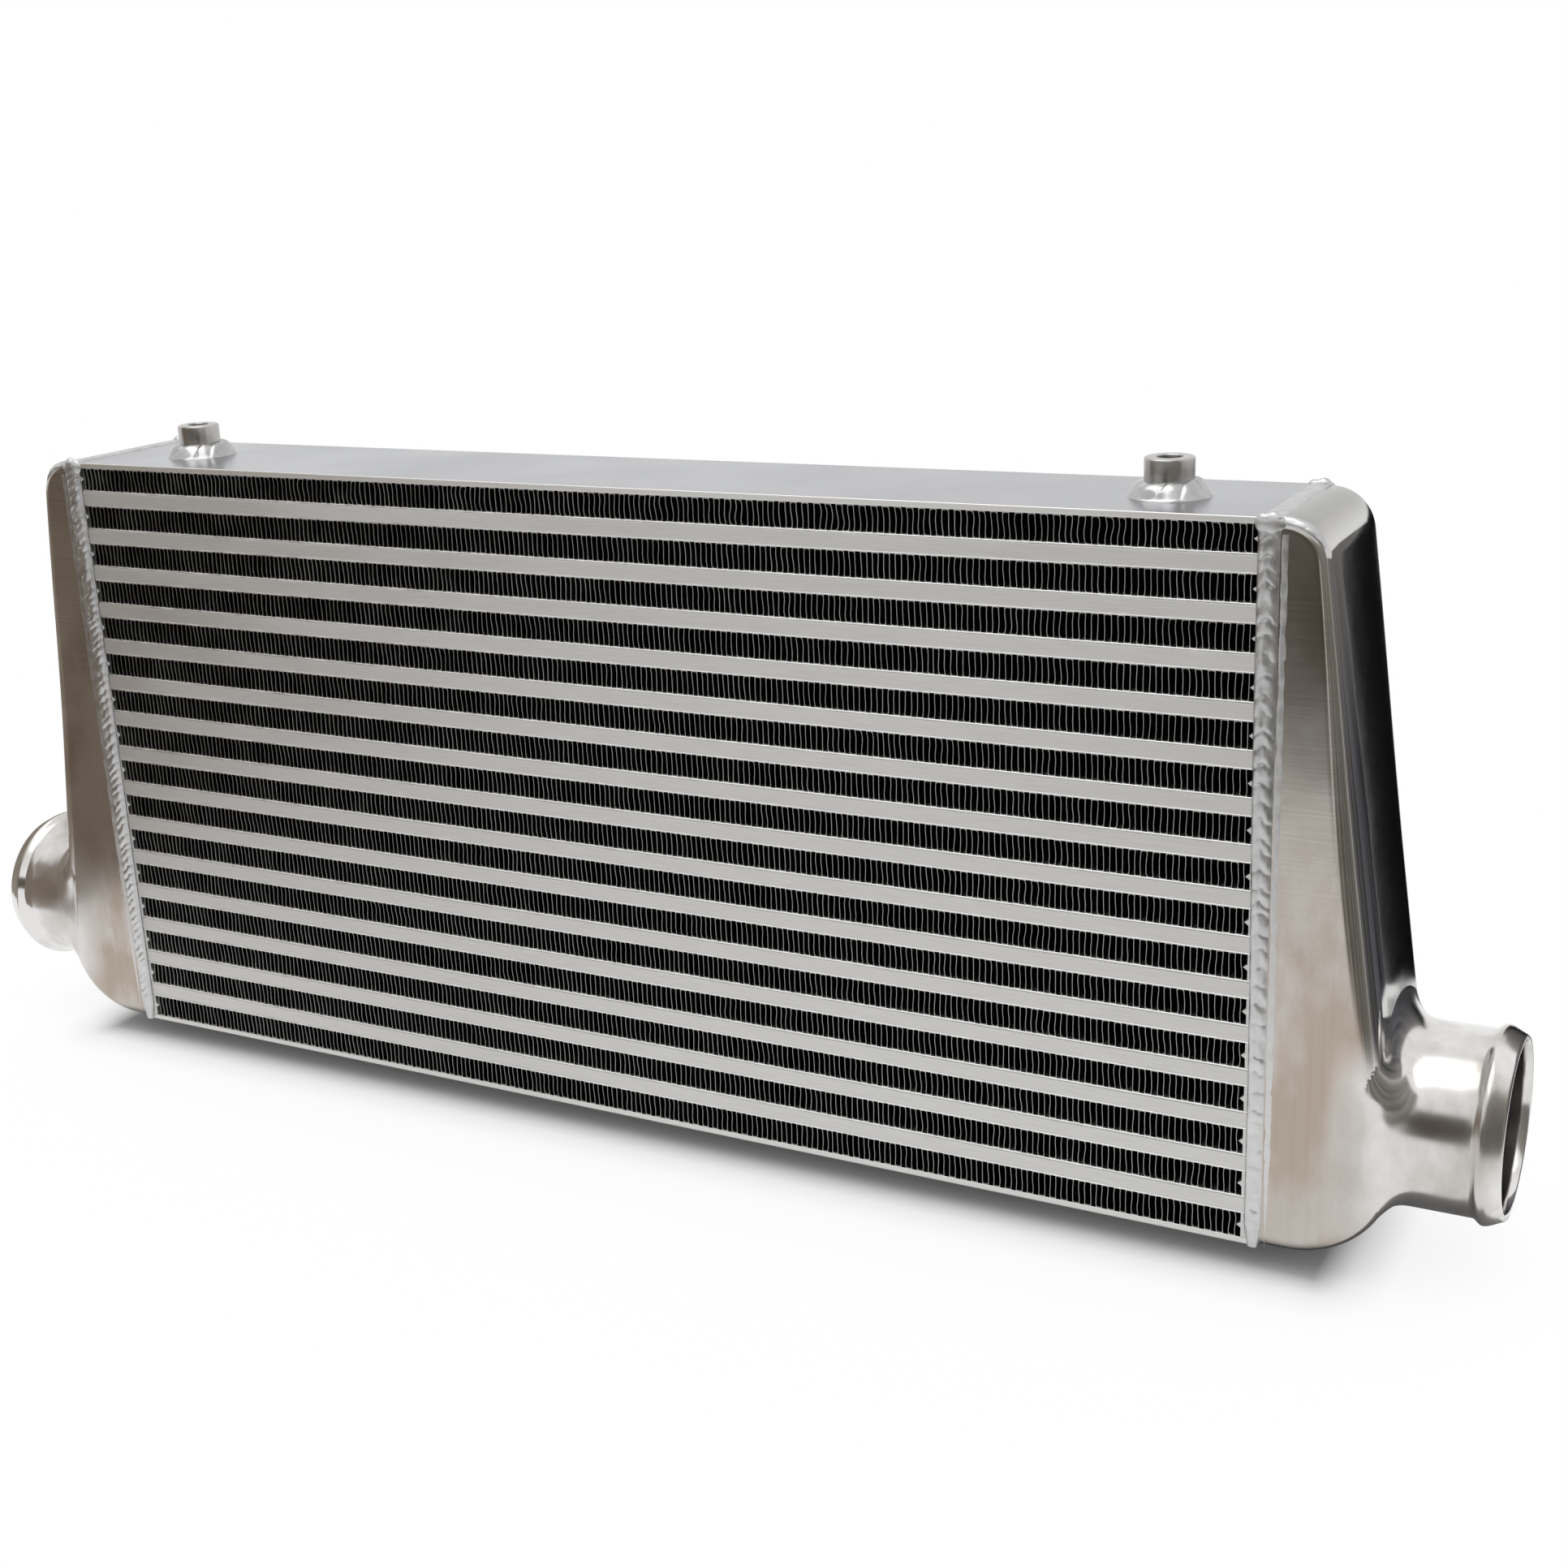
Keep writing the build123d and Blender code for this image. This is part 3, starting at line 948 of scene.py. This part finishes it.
def skirt_points(seed, centre_x):
    """The weld round a boss: a lumpy ring of ripples."""
    steps = 192
    lobes = uneven_phase(seed, 6.0, 120)
    points = []
    shares = [index / 14 for index in range(15)]
    heaviest = random.Random(seed).uniform(0, 6.28)
    for share in shares:
        for step in range(steps):
            turn = 2 * math.pi * step / steps
            near = math.cos(turn - heaviest)
            lobe = ripple(lobes(58 * (step / steps) + 3.0 * share))
            radius = BOSS_RADIUS - 0.4 + (BOSS_WELD_RADIUS - BOSS_RADIUS - 0.6 + 0.5 * near) * share
            swell = 6.0 * (1 - share) ** 1.25 + 1.3 * math.sin(math.pi * share)
            height = swell * (1 + 0.08 * near) + 1.3 * lobe * math.sin(math.pi * share) ** 0.7
            x, y = radius * math.cos(turn), radius * math.sin(turn)
            height += 0.5 * noise.noise(Vector((centre_x + x * 0.18, y * 0.18, seed)))
            height = max(height * (1 - share**8), 0) + 0.05 - 0.2 * share
            points.append((centre_x + x, y, CORE_TOP + height))
    return points, grid_faces(len(shares), steps, wrap=True)


boss_points, boss_faces, skirt, skirt_faces = [], [], [], []
for seed, centre_x in ((1, -BOSS_X), (2, BOSS_X)):
    new_points, new_faces = lathe(boss_profile(), 96, (centre_x, 0, 0))
    boss_faces += moved_on(new_faces, len(boss_points))
    boss_points += new_points
    new_points, new_faces = skirt_points(seed, centre_x)
    skirt_faces += moved_on(new_faces, len(skirt))
    skirt += new_points
mesh_piece("threaded_bosses", boss_points, boss_faces, bosses_look, ["bosses"], sharp_above=35)
mesh_piece("boss_weld_rings", skirt, skirt_faces, boss_welds_look, ["boss_welds"], sharp_above=75)

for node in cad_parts.values():
    node.data.materials.clear()
    node.data.materials.append(hidden_look)

# ---- Floor, light and camera ----

scene = bpy.context.scene
scene.view_settings.view_transform = "Standard"


def plain_material(name, colour):
    """An even colour with no shine."""
    material = bpy.data.materials.new(name)
    material.use_nodes = True
    surface = material.node_tree.nodes["Principled BSDF"]
    surface.inputs["Base Color"].default_value = (*colour, 1)
    surface.inputs["Roughness"].default_value = 1.0
    surface.inputs["Specular IOR Level"].default_value = 0.0
    return material


def stage_panel(name, corners, material):
    """A flat four-cornered part of the set, which isn't part of the object."""
    mesh = bpy.data.meshes.new(name)
    mesh.from_pydata([Vector(corner) for corner in corners], [], [(0, 1, 2, 3)])
    mesh.materials.append(material)
    panel = bpy.data.objects.new(name, mesh)
    scene.collection.objects.link(panel)
    return panel


FOOTPRINT = (0.326, 0.038, 0)
SHADE_REACH = 0.5


def paper_material():
    """White paper, which takes the object's shadow near it, darkened there further by a painted shadow in
    its colour, and looks evenly white further out.

    The glow is only seen, by the camera and in the metal: it lights nothing.
    """
    paper = Shader("white_paper", 1.0)
    paper.surface.inputs["Metallic"].default_value = 0.0
    paper.surface.inputs["Specular IOR Level"].default_value = 0.0
    out = paper.span(paper.distance(FOOTPRINT, (1, 1, 0), outside=True), 0.0, SHADE_REACH)
    # The paper's colour is darkened near the footprint: a painted contact shadow.
    paper.colour(paper.ramp(out, [(0.0, (0.42,) * 3), (0.03, (0.82,) * 3), (0.07, (0.94,) * 3)]))
    glowing = [(0.0, 0.04), (0.026, 0.48), (0.06, 0.84), (0.2, 0.97), (1.0, 1.0)]
    share = paper.ramp(out, [(place, (value,) * 3) for place, value in glowing])
    rays = paper.add("ShaderNodeLightPath")
    glossy = paper.math("MAXIMUM", rays.outputs["Is Camera Ray"], rays.outputs["Is Glossy Ray"])
    seen = paper.math("MAXIMUM", glossy, rays.outputs["Is Transmission Ray"])
    glow = paper.add("ShaderNodeEmission")
    glow.inputs["Color"].default_value = (1, 1, 1, 1)
    glow.inputs["Strength"].default_value = 1.0
    blend_out = paper.add("ShaderNodeMixShader")
    paper.link(paper.math("MULTIPLY", share, seen), blend_out.inputs[0])
    paper.link(paper.surface.outputs["BSDF"], blend_out.inputs[1])
    paper.link(glow.outputs["Emission"], blend_out.inputs[2])
    paper.link(blend_out.outputs["Shader"], paper.tree.nodes["Material Output"].inputs["Surface"])
    return paper.material


PAPER = -0.009  # the part stands a little clear of the paper, which lies in its shadow under it and is painted darker there as well
floor_corners = [(-30, -30, PAPER), (30, -30, PAPER), (30, 30, PAPER), (-30, 30, PAPER)]
stage_panel("floor", floor_corners, paper_material())


def streaked_material(name, colour):
    """Matt card with upright streaks, which show as polishing streaks in the tanks' rounded edges."""
    card = Shader(name, 1.0)
    card.surface.inputs["Metallic"].default_value = 0.0
    card.surface.inputs["Specular IOR Level"].default_value = 0.0
    streaks = card.noise(1.0, 2.0, (26, 26, 1.2))
    dark = tuple(0.35 * value for value in colour)
    light = tuple(2.1 * value for value in colour)
    low = card.ramp(streaks, [(0.36, dark), (0.5, colour), (0.66, light)])
    high = card.mix(0.35, low, (0.42, 0.40, 0.37))
    card.colour(card.mix(card.span(card.axis("Z"), 0.13, 0.25), low, high))
    return card.material


def reflected_card(name, corners, material):
    """A card beside the set that shows only in glossy reflections."""
    card = stage_panel(name, corners, material)
    card.visible_camera = False
    card.visible_diffuse = False
    card.visible_shadow = False
    card.visible_transmission = False
    return card


def upright_card(name, start, end, top, colour, bottom=0.0):
    """A reflected card that stands upright between two places given as (x, y)."""
    corners = [(*start, bottom), (*end, bottom), (*end, top), (*start, top)]
    reflected_card(name, corners, plain_material(name, colour))


def floor_card(name, corners, colour):
    """A reflected card that lies on the floor, its corners given as (x, y)."""
    reflected_card(name, [(*corner, PAPER + 0.001) for corner in corners], plain_material(name, colour))


DARK_ROOM = (0.10, 0.085, 0.07)
GREY = (0.28, 0.28, 0.28)
BLACK = (0.004, 0.004, 0.004)
upright_card("dark_room_in_front", (-3.2, -1.25), (2.4, -1.25), 0.50, DARK_ROOM, bottom=0.15)
upright_card("dark_edge_front_right", (0.08, -0.69), (0.36, -0.67), 0.40, (0.085, 0.073, 0.056), PAPER)
upright_card("dark_edge_left", (-0.475, -0.62), (-0.475, -0.12), 0.40, (0.24, 0.20, 0.165))
upright_card("brown_left", (-0.62, -0.24), (-0.62, 0.30), 0.26, (0.30, 0.26, 0.22))
reflected_card(
    "grey_right",
    [(0.375, -0.38, 0.0), (0.668, -0.126, 0.0), (0.668, -0.126, 0.42), (0.375, -0.38, 0.42)],
    streaked_material("grey_right", (0.20, 0.195, 0.18)),
)
reflected_card(
    "dark_right",
    [(0.668, -0.12, 0.0), (0.66, 0.085, 0.0), (0.66, 0.085, 0.31), (0.668, -0.12, 0.31)],
    streaked_material("dark_right", (0.09, 0.09, 0.09)),
)
reflected_card(
    "grey_behind",
    [(0.66, 0.085, 0.0), (0.4465, 0.302, 0.0), (0.4082, 0.302, 0.29), (0.66, 0.085, 0.29)],
    streaked_material("grey_behind", (0.09, 0.09, 0.10)),
)
reflected_card(
    "black_flag_behind",
    [(0.386, 0.30, 0.0), (0.445, 0.30, 0.0), (0.4074, 0.30, 0.285), (0.3567, 0.30, 0.33)],
    plain_material("black_flag", BLACK),
)
floor_card("black_floor_behind", [(0.345, 0.04), (0.375, 0.04), (0.445, 0.30), (0.400, 0.30)], BLACK)
# A grey card on the paper under the right tank, seen only in reflections, is painted shade standing for the
# paper's shadow there.
floor_card("painted_shadow_under_tank", [(0.30, -0.037), (0.40, -0.037), (0.40, 0.04), (0.30, 0.04)], GREY)

world = bpy.data.worlds.new("white_studio")
world.use_nodes = True
world.node_tree.nodes["Background"].inputs["Color"].default_value = (1, 1, 1, 1)
world.node_tree.nodes["Background"].inputs["Strength"].default_value = 1.0
scene.world = world


def soft_lamp(name, place, aim, size, power):
    """A rectangular area lamp."""
    light = bpy.data.lights.new(name, "AREA")
    light.shape = "RECTANGLE"
    light.size, light.size_y = size
    light.energy = power
    lamp = bpy.data.objects.new(name, light)
    lamp.location = place
    lamp.rotation_euler = (Vector(aim) - Vector(place)).to_track_quat("-Z", "Y").to_euler()
    scene.collection.objects.link(lamp)


soft_lamp("overhead_softbox", (-0.2, -0.3, 2.2), (0, 0, 0.1), (2.4, 1.2), 14)

CAMERA_PLACE = Vector((0.496014, -0.783056, 0.441756))
CAMERA_RIGHT = Vector((0.88525571, 0.46318369, -0.042228))
CAMERA_UP = Vector((-0.10359103, 0.28486722, 0.95295308))
CAMERA_FORWARD = Vector((-0.45342169, 0.83923271, -0.300162))
camera_data = bpy.data.cameras.new("camera")
camera_data.sensor_width = 36.0
camera_data.lens = 47.56
camera_data.clip_start = 0.01
camera = bpy.data.objects.new("camera", camera_data)
camera.matrix_world = (
    Matrix.Translation(CAMERA_PLACE)
    @ Matrix((CAMERA_RIGHT, CAMERA_UP, -CAMERA_FORWARD)).transposed().to_4x4()
)
scene.collection.objects.link(camera)
scene.camera = camera
